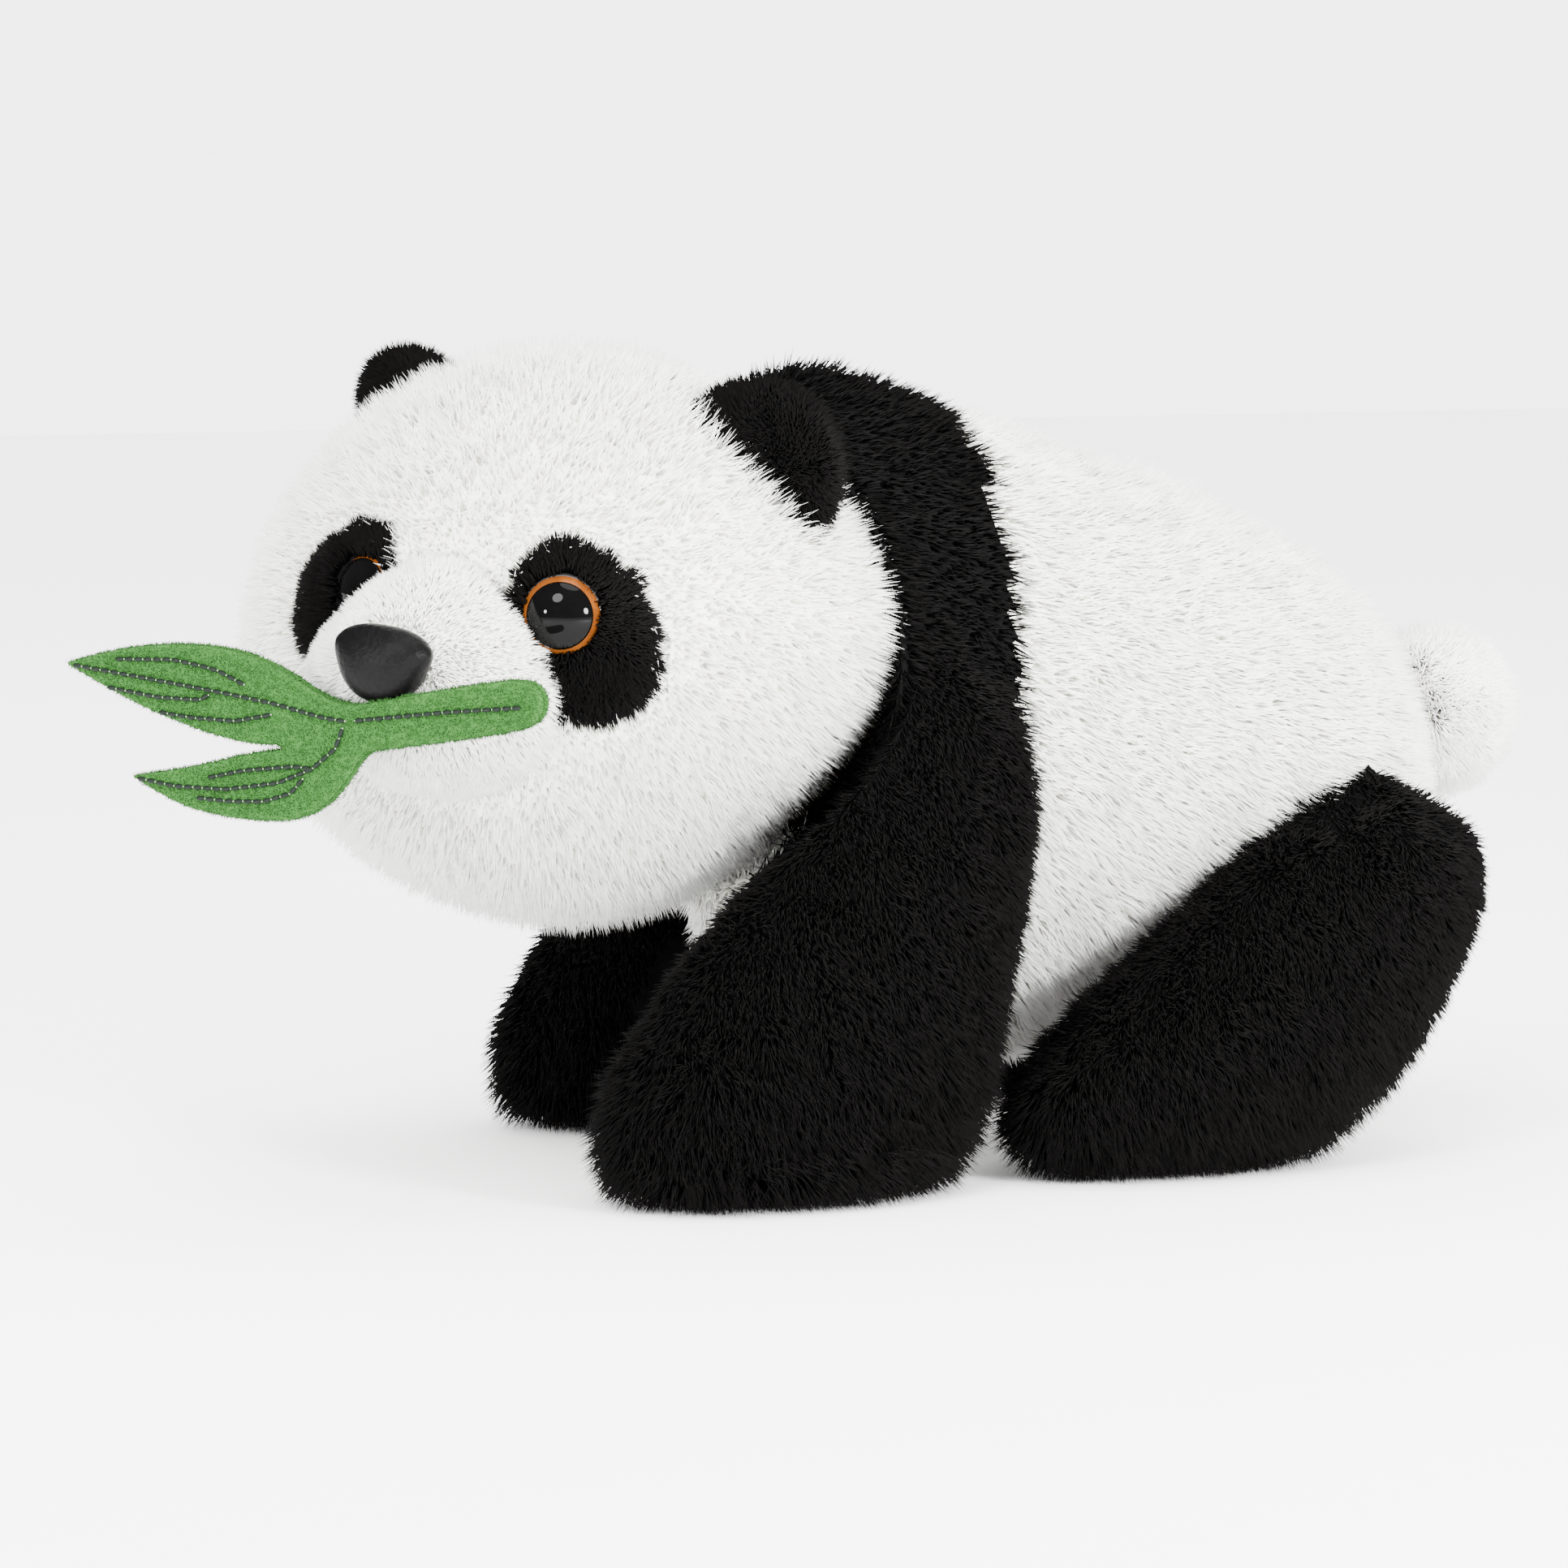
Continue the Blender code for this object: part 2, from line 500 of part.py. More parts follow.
def build_sprig():
    """Two felt layers cut to one outline, sewn together along the veins."""
    green = material("green_felt", GREEN_FELT, 0.95)
    thread = material("sewing_thread", (0.01, 0.02, 0.012), 0.7)
    outline = (*UPPER_LEAF_TOP, *UPPER_LEAF_UNDER, *LOWER_LEAF_TOP, *LOWER_LEAF_UNDER, *STEM)
    for layer, near in (("back", SPRIG_FRONT), ("front", SPRIG_FRONT - SEAM_GAP - FELT)):
        bm = bmesh.new()
        ring = [bm.verts.new(head_point(side, -near, rise)) for side, rise in outline]
        face = bm.faces.new(ring)
        drawn = bmesh.ops.extrude_face_region(bm, geom=[face])
        far = [part for part in drawn["geom"] if isinstance(part, bmesh.types.BMVert)]
        bmesh.ops.translate(bm, verts=far, vec=TURN @ Vector((0, -FELT, 0)))
        bmesh.ops.triangulate(bm, faces=bm.faces[:], ngon_method="EAR_CLIP")
        add_piece(f"bamboo_{layer}_felt", bm, green, HEAD_CENTRE)
    build_stitches(thread)


def build_stitches(thread):
    """A line of sewing thread along the stem and along each leaf's midrib."""
    front = -(SPRIG_FRONT - 2 * SEAM_GAP - 2 * FELT) + THREAD_THICKNESS / 2
    for place, (start, end) in VEINS.items():
        start, end = Vector(start), Vector(end)
        run, middle = end - start, (start + end) / 2
        slope = Matrix.Rotation(-math.atan2(run.y, run.x), 4, "Y")
        spot = Matrix.Translation(head_point(middle.x, front, middle.y)) @ TURN.to_4x4() @ slope
        bm = bmesh.new()
        size = Matrix.Diagonal((run.length, THREAD_THICKNESS, THREAD_WIDTH, 1))
        bmesh.ops.create_cube(bm, size=1, matrix=spot @ size)
        add_piece(f"bamboo_{place}_stitching", bm, thread, HEAD_CENTRE)


def main():
    clear_scene()
    head_cutter = add_cutter("head_clearance", head_ball(-HEAD_TURN_ROOM))
    tail_cutter = add_cutter("tail_clearance", ellipsoid(TAIL_CENTRE, TAIL_HALF, inset=-TAIL_ROOM))
    build_torso(head_cutter, tail_cutter)
    build_head()
    build_ears()
    for side, word in ((1, "left"), (-1, "right")):
        stepped_back = (0, 0) if side > 0 else (FAR_FRONT_BACK, FAR_HIND_BACK)
        build_leg(f"front_leg_{word}", FRONT_LEG, side, FRONT_HINGE, stepped_back[0])
        build_leg(f"hind_leg_{word}", HIND_LEG, side, HIND_HINGE, stepped_back[1])
    build_tail()
    build_sprig()


main()
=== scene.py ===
"""Plush panda with a felt bamboo sprig: padded skins, a pile of real tufts, eyes, nose and stitches.

Shapes are given in millimetres in the pattern's own frame, and are moved to the row
frame in metres when a piece is made.
"""
import math

import bmesh
import bpy
import numpy as np
from mathutils import Matrix, Vector


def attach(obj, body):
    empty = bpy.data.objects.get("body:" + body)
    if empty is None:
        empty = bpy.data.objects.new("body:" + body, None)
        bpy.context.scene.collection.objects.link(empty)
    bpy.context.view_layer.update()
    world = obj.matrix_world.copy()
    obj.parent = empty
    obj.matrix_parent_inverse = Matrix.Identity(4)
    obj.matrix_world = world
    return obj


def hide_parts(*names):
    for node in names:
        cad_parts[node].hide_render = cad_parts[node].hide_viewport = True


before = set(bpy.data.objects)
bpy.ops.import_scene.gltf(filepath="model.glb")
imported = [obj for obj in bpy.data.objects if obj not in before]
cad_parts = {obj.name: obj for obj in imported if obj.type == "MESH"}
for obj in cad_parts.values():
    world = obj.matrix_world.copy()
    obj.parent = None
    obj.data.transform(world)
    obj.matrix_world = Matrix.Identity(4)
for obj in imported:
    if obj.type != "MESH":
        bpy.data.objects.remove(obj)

MM = 0.001
ORIGIN = Vector((8.5, 5.5, 0))
LEFT_AND_RIGHT = ((1, "left"), (-1, "right"))

# Head, in millimetres
HEAD_CENTRE = Vector((0, -45.5, 108))
HEAD_HALF = Vector((64, 55, 54.5))
LEFT_CHEEK = 0.055      # how much fuller the left cheek is above its middle
CHEEK_SLOPE, CHEEK_LEVEL, CHEEK_LEAST = 7, 0.6, -4.5    # and how it slims below that
HEAD_TURN, HEAD_TILT = math.radians(43), math.radians(6.5)
CHEEK_SWELL = 0.10
TURN = Matrix.Rotation(HEAD_TURN, 3, "Z") @ Matrix.Rotation(HEAD_TILT, 3, "Y")
MUZZLE_CENTRE, MUZZLE_HALF = Vector((0, -48, -4)), Vector((25, 28, 22))
MUZZLE_NARROWING = 0.30  # how much narrower the muzzle is at its top
MUZZLE_FRONT = -34       # the muzzle's pile grows only ahead of this
NOSE_TIP, NOSE_HALF = (1.3, 77, 0.5), Vector((9.4, 6, 7.4))
NOSE_NARROWING, NOSE_NARROW_TOP = 0.32, 0.45
NOSE_ROUNDNESS, NOSE_FULLEST = 2.6, 1.12    # 2 is an ellipse, more is squarer
EYE_SIDES, EYE_RISES, EYE_RADIUS = {1: 23.6, -1: 19.2}, {1: 11, -1: 9.5}, 8.2
EYE_SUNK = {1: 3.2, -1: 5.0}         # how far each eye sits back in the pile
EYE_AIM, EYE_OUT = Vector((0.30, -0.94, 0.10)), 1.2
EYE_CLEARING = 0.95                  # the share of the eye's radius that the pile leaves open
EYE_DOMING, RING_SHARE = 0.8, 0.985
RIM_BAND, RING_BAND, PUPIL_BAND = (-0.1, 0.36), (0.2, 0.64), (0.62, 1.1)
PATCH_LONG, PATCH_SHORT, PATCH_SLANT = {1: 17.5, -1: 14.8}, {1: 14.6, -1: 11.4}, math.radians(-58)
PATCH_SIDE, PATCH_RISE, PATCH_SHIFT = {1: 22.9, -1: 19.4}, 11, (4.5, -2.5)
PATCH_BROADENING, PATCH_REACH, NOT_IN_PATCH = 0.10, -30, 9.0
EAR_ANGLES = {1: math.radians(44), -1: math.radians(45)}    # where each ear sits on the head
EAR_TILTS = {1: math.radians(42), -1: math.radians(42)}     # and which way it points
EAR_ROOT, EAR_BEHIND = 55.5, {1: -7, -1: 6}
EAR_HALVES = {1: Vector((15.5, 3.6, 16.5)), -1: Vector((9.6, 3.6, 14))}
EAR_DROP = {1: 0.5, -1: 3}   # how far each ear slides down along its seam
EAR_IN_HEAD = -4             # how far an ear reaches into the head

# Torso sections: station along Y, underside height, spine height, half width
TORSO = ((-30, 56, 112, 0), (-20, 40, 146, 26), (0, 31, 161, 39), (25, 22, 154, 45),
         (50, 20, 144, 46), (80, 22, 135, 45), (110, 26, 121, 40), (130, 37, 106, 30),
         (144, 62, 80, 0))
BELLY_TAPER, TORSO_END_FULLNESS = 0.35, 1.6
YOKE_BACK, BELLY_SEAM = 34, 62
CHEST_TOP, CHEST_HALF = 66, 15    # the white chest between the front legs
TORSO_FROM_HEAD, LEG_FROM_HEAD = 1.0, 3.0

# Leg sections: height, centre along Y, half length, half width
FRONT_LEG = ((0.5, -18, 28, 13), (3, -18, 33, 17), (10, -18, 38, 18), (21, -15, 41, 19),
             (41, -7, 38, 18), (58, 2, 32, 17), (76, 12, 26, 15), (96, 16, 20, 11),
             (122, 18, 0, 0))
HIND_LEG = ((1, 66, 22, 5), (5, 66, 31, 10), (12, 67, 38, 17), (21, 75, 42, 20),
            (36, 88, 40, 20), (51, 101, 34, 19), (65, 109, 26, 16), (81, 111, 0, 0))
LEG_SLIMMING = 2.6      # the legs' pile stands this far out of their skin
LEG_CENTRE_X, LEG_WALL = 46, 31
LEG_LEAN_FROM, LEG_LEAN = 60, 0.17   # above this height a leg leans in to the shoulder
LEG_END_FULLNESS, SHIFT_FADE = 3, 0.6
FAR_FRONT_BACK, FAR_HIND_BACK = 9, 30
TAIL_CENTRE, TAIL_HALF = Vector((0, 148, 86)), Vector((12, 13, 13.5))

# Pile: tufts on one panel at most, and a tuft's width at its root
MOST_TUFTS = 41000
TUFT_WIDTH = 0.27
FLOOR_CLEARANCE = 0.1
TUFT_SWIRL, TUFT_LENGTHS, TUFT_TONES = 1.8, (0.65, 1.1), (0.93, 1.05)

# Length of the pile on each part, in millimetres
HEAD_PILE, NEAR_SEAM_PILE, MUZZLE_PILE, PATCH_PILE, EAR_PILE = 6.2, 3.6, 2.8, 3.6, 4.6
BACK_PILE, BELLY_PILE, YOKE_PILE, TAIL_PILE = 6.5, 6.0, 5.6, 6.5
LEG_PILE, PAW_EXTRA, PAW_TOP, PAW_FADE = 4.6, 4.0, 40, 30
SOLE_EDGE, PAW_EDGE = 3, 12
FELT_PILE, FELT_TUFT_WIDTH = 0.9, 0.09


def place(point):
    return (Vector(point) - ORIGIN) * MM


def head_point(side, front, rise):
    return HEAD_CENTRE + TURN @ Vector((side, -front, rise))


def in_head(point):
    """The head's own coordinates of a point: to its left, backwards, and up."""
    return TURN.transposed() @ (point - HEAD_CENTRE)


def new_object(name, bm, look, smooth=True):
    mesh = bpy.data.meshes.new(name)
    bm.to_mesh(mesh)
    bm.free()
    mesh.materials.append(look)
    if smooth:
        mesh.shade_smooth()
    made = bpy.data.objects.new(name, mesh)
    bpy.context.collection.objects.link(made)
    return made


# ------------------------------------------------------------------ materials
def link(tree, start, end):
    tree.links.new(start, end)


def shaded_tuft_colour_group():
    """Colour of a tuft: darker at its root as painted shade down in the pile, and a little different from
    its neighbours.
    """
    group = bpy.data.node_groups.new("tuft_colour", "ShaderNodeTree")
    for socket in ("Shaded Root", "Tip"):
        group.interface.new_socket(socket, in_out="INPUT", socket_type="NodeSocketColor")
    group.interface.new_socket("Colour", in_out="OUTPUT", socket_type="NodeSocketColor")
    inner = group.nodes.new("NodeGroupInput")
    outer = group.nodes.new("NodeGroupOutput")
    height = group.nodes.new("ShaderNodeAttribute")
    height.attribute_name = "tip"
    tone = group.nodes.new("ShaderNodeAttribute")
    tone.attribute_name = "tone"
    # From root to tip: the darker root colour is painted shade between the tufts, not a colour of the
    # fibres.
    along = group.nodes.new("ShaderNodeMix")
    along.data_type = "RGBA"
    link(group, height.outputs["Fac"], along.inputs["Factor"])
    link(group, inner.outputs["Shaded Root"], along.inputs["A"])
    link(group, inner.outputs["Tip"], along.inputs["B"])
    shade = group.nodes.new("ShaderNodeHueSaturation")
    link(group, along.outputs["Result"], shade.inputs["Color"])
    link(group, tone.outputs["Fac"], shade.inputs["Value"])
    link(group, shade.outputs["Color"], outer.inputs["Colour"])
    return group


SHADED_TUFT_COLOUR = shaded_tuft_colour_group()
SOCKET_NAMES = {"sheen_weight": "Sheen Weight", "coat_weight": "Coat Weight", "coat_ior": "Coat IOR",
                "specular_ior_level": "Specular IOR Level", "subsurface_weight": "Subsurface Weight",
                "subsurface_scale": "Subsurface Scale", "subsurface_radius": "Subsurface Radius"}


def plain_material(name, colour, roughness, **sockets):
    look = bpy.data.materials.new(name)
    look.use_nodes = True
    shader = look.node_tree.nodes["Principled BSDF"]
    shader.inputs["Base Color"].default_value = (*colour, 1)
    shader.inputs["Roughness"].default_value = roughness
    for socket, value in sockets.items():
        shader.inputs[SOCKET_NAMES[socket]].default_value = value
    return look


def pile_material(name, root, tip, roughness, sheen, **sockets):
    look = plain_material(name, tip, roughness, sheen_weight=sheen, **sockets)
    nodes = look.node_tree.nodes
    colour = nodes.new("ShaderNodeGroup")
    colour.node_tree = SHADED_TUFT_COLOUR
    colour.inputs["Shaded Root"].default_value = (*root, 1)
    colour.inputs["Tip"].default_value = (*tip, 1)
    link(look.node_tree, colour.outputs["Colour"], nodes["Principled BSDF"].inputs["Base Color"])
    return look


def woven_material(name, dark, pale, roughness, grain, depth=0.4, distance=0.0004, **sockets):
    """A mottled matte surface with a fine grain, for cloth, felt, thread and moulded plastic."""
    look = plain_material(name, pale, roughness, **sockets)
    tree = look.node_tree
    where = tree.nodes.new("ShaderNodeTexCoord")
    noise = tree.nodes.new("ShaderNodeTexNoise")
    noise.inputs["Scale"].default_value = grain
    noise.inputs["Detail"].default_value = 4
    link(tree, where.outputs["Object"], noise.inputs["Vector"])
    mix = tree.nodes.new("ShaderNodeMix")
    mix.data_type = "RGBA"
    mix.inputs["A"].default_value = (*dark, 1)
    mix.inputs["B"].default_value = (*pale, 1)
    link(tree, noise.outputs["Fac"], mix.inputs["Factor"])
    shader = tree.nodes["Principled BSDF"]
    link(tree, mix.outputs["Result"], shader.inputs["Base Color"])
    bump = tree.nodes.new("ShaderNodeBump")
    bump.inputs["Strength"].default_value = depth
    bump.inputs["Distance"].default_value = distance
    link(tree, noise.outputs["Fac"], bump.inputs["Height"])
    link(tree, bump.outputs["Normal"], shader.inputs["Normal"])
    return look


# Each pile's root colour is darker than its tip as painted shade down in the pile; the black pile's warmer
# tips are its own colour.
WHITE_PILE = pile_material("white_pile", (0.90, 0.895, 0.81), (0.97, 0.965, 0.88), 0.9, 0.1,
                           subsurface_weight=0.7, subsurface_scale=0.003,
                           subsurface_radius=(1.0, 1.0, 0.85))
BLACK_PILE = pile_material("black_pile", (0.0008, 0.0008, 0.0008), (0.0026, 0.0022, 0.0020), 0.6, 0.0,
                           specular_ior_level=0.05)
FELT_FUZZ = pile_material("felt_fuzz", (0.014, 0.060, 0.009), (0.030, 0.108, 0.020), 0.9, 0.0,
                          specular_ior_level=0.15)
WHITE_CLOTH = woven_material("white_cloth", (0.84, 0.84, 0.76), (0.93, 0.93, 0.85), 0.95, 900)
BLACK_CLOTH = woven_material("black_cloth", (0.001, 0.001, 0.001), (0.002, 0.002, 0.002), 0.9, 900,
                             specular_ior_level=0.05)
GREEN_FELT = woven_material("green_felt_cloth", (0.014, 0.060, 0.009), (0.030, 0.108, 0.020), 0.95, 700,
                            specular_ior_level=0.15)
THREAD = woven_material("dark_thread", (0.001, 0.003, 0.0015), (0.005, 0.012, 0.006), 0.6, 2500,
                        specular_ior_level=0.15)
UNDER_THREAD = woven_material("pale_under_thread", (0.16, 0.22, 0.14), (0.36, 0.42, 0.30), 0.7, 2500)
NOSE_PLASTIC = woven_material("nose_plastic", (0.0015, 0.0014, 0.0015), (0.0035, 0.0032, 0.0034),
                              0.42, 900, 0.6, specular_ior_level=0.06)
AMBER = woven_material("amber_ring", (0.03, 0.006, 0.001), (0.17, 0.050, 0.008), 0.5, 260, 0.1,
                       coat_weight=1.0, coat_ior=1.17, specular_ior_level=0.0)
PUPIL = woven_material("pupil_gloss", (0.001, 0.001, 0.001), (0.002, 0.002, 0.002), 0.5, 300, 0.0,
                       coat_weight=1.0, coat_ior=1.17, specular_ior_level=0.0)
PLASTIC = woven_material("black_plastic_part", (0.01, 0.01, 0.01), (0.02, 0.02, 0.02), 0.4, 500)
POUCH = woven_material("pouch_weave", (0.6, 0.58, 0.5), (0.8, 0.78, 0.7), 0.9, 1200)


# ----------------------------------------------------------------------- pile
def pile_tree(width, seed, clump, stray):
    """Geometry nodes that stand a slim three-sided tuft on each scattered point."""
    tree = bpy.data.node_groups.new("pile", "GeometryNodeTree")
    tree.interface.new_socket("Geometry", in_out="INPUT", socket_type="NodeSocketGeometry")
    tree.interface.new_socket("Geometry", in_out="OUTPUT", socket_type="NodeSocketGeometry")

    def node(kind, **values):
        made = tree.nodes.new(kind)
        for name, value in values.items():
            setattr(made, name, value)
        return made

    def named(name, kind="FLOAT"):
        attribute = node("GeometryNodeInputNamedAttribute", data_type=kind)
        attribute.inputs["Name"].default_value = name
        return attribute.outputs["Attribute"]

    def vector_math(operation, first, second):
        maths = node("ShaderNodeVectorMath", operation=operation)
        link(tree, first, maths.inputs[0])
        if isinstance(second, (int, float)):
            maths.inputs["Scale"].default_value = second
        elif isinstance(second, tuple):
            maths.inputs[1].default_value = second
        else:
            link(tree, second, maths.inputs[1])
        return maths.outputs["Vector"]

    def random(kind, low, high, offset):
        value = node("FunctionNodeRandomValue", data_type=kind)
        value.inputs["Seed"].default_value = seed + offset
        shown = [socket for socket in value.inputs if socket.enabled]
        shown[0].default_value, shown[1].default_value = low, high
        return next(socket for socket in value.outputs if socket.enabled)

    start, end = node("NodeGroupInput"), node("NodeGroupOutput")
    scatter = node("GeometryNodeDistributePointsOnFaces")
    scatter.inputs["Seed"].default_value = seed
    link(tree, start.outputs["Geometry"], scatter.inputs["Mesh"])
    link(tree, named("pile_density"), scatter.inputs["Density"])

    tuft = node("GeometryNodeMeshCone", fill_type="NGON")
    for socket, value in (("Vertices", 3), ("Radius Top", 0.0), ("Radius Bottom", 1.0), ("Depth", 1.0)):
        tuft.inputs[socket].default_value = value
    split = node("ShaderNodeSeparateXYZ")
    link(tree, node("GeometryNodeInputPosition").outputs["Position"], split.inputs["Vector"])
    height = node("GeometryNodeStoreNamedAttribute", data_type="FLOAT", domain="POINT")
    height.inputs["Name"].default_value = "tip"
    link(tree, tuft.outputs["Mesh"], height.inputs["Geometry"])
    link(tree, split.outputs["Z"], height.inputs["Value"])

    noise = node("ShaderNodeTexNoise")
    noise.inputs["Scale"].default_value = 1 / (clump * MM)
    noise.inputs["Detail"].default_value = 1.0
    swirl = vector_math("SUBTRACT", noise.outputs["Color"], (0.5, 0.5, 0.5))
    swirl = vector_math("SCALE", swirl, TUFT_SWIRL)
    lean = vector_math("ADD", named("comb", "FLOAT_VECTOR"), swirl)
    lean = vector_math("ADD", lean, random("FLOAT_VECTOR", (-stray,) * 3, (stray,) * 3, 1))
    lean = vector_math("ADD", scatter.outputs["Normal"], lean)
    turn = node("FunctionNodeAlignRotationToVector", axis="Z")
    link(tree, lean, turn.inputs["Vector"])

    length = node("ShaderNodeMath", operation="MULTIPLY")
    link(tree, named("pile_length"), length.inputs[0])
    link(tree, random("FLOAT", *TUFT_LENGTHS, 2), length.inputs[1])
    size = node("ShaderNodeCombineXYZ")
    size.inputs["X"].default_value = size.inputs["Y"].default_value = width * MM
    link(tree, length.outputs["Value"], size.inputs["Z"])

    stand = node("GeometryNodeInstanceOnPoints")
    link(tree, scatter.outputs["Points"], stand.inputs["Points"])
    link(tree, height.outputs["Geometry"], stand.inputs["Instance"])
    link(tree, turn.outputs["Rotation"], stand.inputs["Rotation"])
    link(tree, size.outputs["Vector"], stand.inputs["Scale"])
    tone = node("GeometryNodeStoreNamedAttribute", data_type="FLOAT", domain="INSTANCE")
    tone.inputs["Name"].default_value = "tone"
    link(tree, stand.outputs["Instances"], tone.inputs["Geometry"])
    link(tree, random("FLOAT", *TUFT_TONES, 3), tone.inputs["Value"])
    real = node("GeometryNodeRealizeInstances")
    link(tree, tone.outputs["Geometry"], real.inputs["Geometry"])
    link(tree, real.outputs["Geometry"], end.inputs["Geometry"])
    return tree


def grow_pile(name, skin, look, length, comb, body, keep=None, width=TUFT_WIDTH, clump=7.0,
              stray=0.35, share=1.0):
    """Covers a skin with tufts. length, comb and keep are functions of a point in millimetres."""
    mesh = skin.data.copy()
    count = len(mesh.vertices)
    points = [Vector(vert.co) / MM + ORIGIN for vert in mesh.vertices]
    kept = np.array([1.0 if keep is None or keep(point) else 0.0 for point in points])
    area = sum(face.area * kept[face.vertices[0]] for face in mesh.polygons)
    values = {"pile_density": kept * MOST_TUFTS * share / area,
              "pile_length": np.array([length(point) * MM for point in points])}
    for key, value in values.items():
        mesh.attributes.new(key, "FLOAT", "POINT").data.foreach_set("value", value)
    lean = np.array([comb(point) for point in points], dtype=float)
    mesh.attributes.new("comb", "FLOAT_VECTOR", "POINT").data.foreach_set("vector", lean.ravel())

    ground = bpy.data.objects.new(name + "_ground", mesh)
    bpy.context.collection.objects.link(ground)
    grown = ground.modifiers.new("pile", "NODES")
    grown.node_group = pile_tree(width, count % 97 + len(name), clump, stray)
    bpy.context.view_layer.update()
    baked = ground.evaluated_get(bpy.context.evaluated_depsgraph_get())
    tufts = bpy.data.meshes.new_from_object(baked)
    tufts.name = name
    tips = np.empty(len(tufts.vertices) * 3, dtype=np.float32)
    tufts.vertices.foreach_get("co", tips)
    tips[2::3] = np.maximum(tips[2::3], FLOOR_CLEARANCE * MM)   # the floor bends the lowest tufts
    tufts.vertices.foreach_set("co", tips)
    bpy.data.objects.remove(ground)
    tufts.materials.clear()
    tufts.materials.append(look)
    tufts.shade_smooth()
    pile = bpy.data.objects.new(name, tufts)
    bpy.context.collection.objects.link(pile)
    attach(pile, body)
    return pile


# ---------------------------------------------------------------------- forms
def soft_form(name, shape, look, fineness=5, smoothing=6):
    """A closed padded form: a ball whose points go where shape(x, y, z) puts them."""
    bm = bmesh.new()
    bmesh.ops.create_icosphere(bm, subdivisions=fineness, radius=1)
    for vert in bm.verts:
        vert.co = shape(*vert.co)
    for _ in range(smoothing):
        bmesh.ops.smooth_vert(bm, verts=bm.verts, factor=0.5, use_axis_x=True, use_axis_y=True,
                              use_axis_z=True)
    for vert in bm.verts:
        vert.co = place(vert.co)
    return new_object(name, bm, look)


def panel_over(name, form, inside, look, raised=0.4, thick=0.5):
    """The part of a form's surface that inside(point) accepts, as a thin closed panel on it."""
    bm = bmesh.new()
    bm.from_mesh(form.data)
    for vert in bm.verts:
        vert.tag = inside(Vector(vert.co) / MM + ORIGIN)
    outside = [face for face in bm.faces if not all(vert.tag for vert in face.verts)]
    bmesh.ops.delete(bm, geom=outside, context="FACES")
    bm.normal_update()
    for vert in bm.verts:
        vert.co += vert.normal * raised * MM
    bmesh.ops.solidify(bm, geom=bm.faces[:], thickness=thick * MM)
    bmesh.ops.recalc_face_normals(bm, faces=bm.faces)
    return new_object(name, bm, look)


def ball_shape(centre, half, turn=Matrix.Identity(3)):
    def shape(x, y, z):
        return centre + turn @ Vector((x * half.x, y * half.y, z * half.z))
    return shape


def head_shape(x, y, z):
    to_the_left = min(max(x * 3, 0), 1)
    fullness = 1 + LEFT_CHEEK * min(max(CHEEK_SLOPE * z - CHEEK_LEVEL, CHEEK_LEAST), 1) * to_the_left
    return HEAD_CENTRE + TURN @ Vector((x * HEAD_HALF.x * (1 - CHEEK_SWELL * z) * fullness,
                                        y * HEAD_HALF.y, z * HEAD_HALF.z))


def clear_of_head(point, room):
    """Moves a point out of the space that the head needs."""
    local = in_head(point)
    size = HEAD_HALF + Vector((room, room, room))
    depth = Vector((local.x / size.x / (1 + CHEEK_SWELL), local.y / size.y, local.z / size.z)).length
    return point if depth >= 1 else HEAD_CENTRE + TURN @ (local / max(depth, 0.1))


def torso_shape(x, y, z):
    along, low, high, wide = np.array(TORSO, float).T
    ring = max(math.hypot(x, z), 1e-6)
    station = along[0] + (along[-1] - along[0]) * (y + 1) / 2
    bottom, top, half_width = (np.interp(station, along, row) for row in (low, high, wide))
    edge = min(1.0, ring * TORSO_END_FULLNESS)
    up, across = z / ring, x / ring
    taper = 1 + BELLY_TAPER * min(up, 0)
    spot = Vector((across * half_width * taper * edge, station,
                   (top + bottom) / 2 + up * (top - bottom) / 2 * edge))
    return clear_of_head(spot, TORSO_FROM_HEAD)


def leg_shape(stations, side, stepped_back):
    heights, centres, lengths, widths = np.array(stations, float).T

    def shape(x, y, z):
        ring = max(math.hypot(x, y), 1e-6)
        height = heights[0] + (heights[-1] - heights[0]) * (z + 1) / 2
        full = min(1.0, ring * LEG_END_FULLNESS)
        half_length = max(np.interp(height, heights, lengths) - LEG_SLIMMING, 0) * full
        half_width = max(np.interp(height, heights, widths) - LEG_SLIMMING, 0) * full
        middle = LEG_CENTRE_X - LEG_LEAN * max(height - LEG_LEAN_FROM, 0)
        across = max(middle + side * x / ring * half_width, LEG_WALL)
        shift = stepped_back * (1 - np.clip(height / heights[-1], 0, 1) * SHIFT_FADE)
        centre = np.interp(height, heights, centres) + shift
        spot = Vector((side * across, centre + y / ring * half_length, height))
        return clear_of_head(spot, LEG_FROM_HEAD)
    return shape


# ----------------------------------------------------------------------- head
def eye_seat(side):
    """Where an eye sits on the head's surface, and the way it looks."""
    across, rise = EYE_SIDES[side], EYE_RISES[side]
    swell = 1 - CHEEK_SWELL * rise / HEAD_HALF.z
    left = 1 - (across / (HEAD_HALF.x * swell)) ** 2 - (rise / HEAD_HALF.z) ** 2
    out = TURN @ Vector((side * EYE_AIM.x, EYE_AIM.y, EYE_AIM.z)).normalized()
    ahead = HEAD_HALF.y * math.sqrt(left)
    return head_point(side * across, ahead, rise) + out * EYE_OUT, out


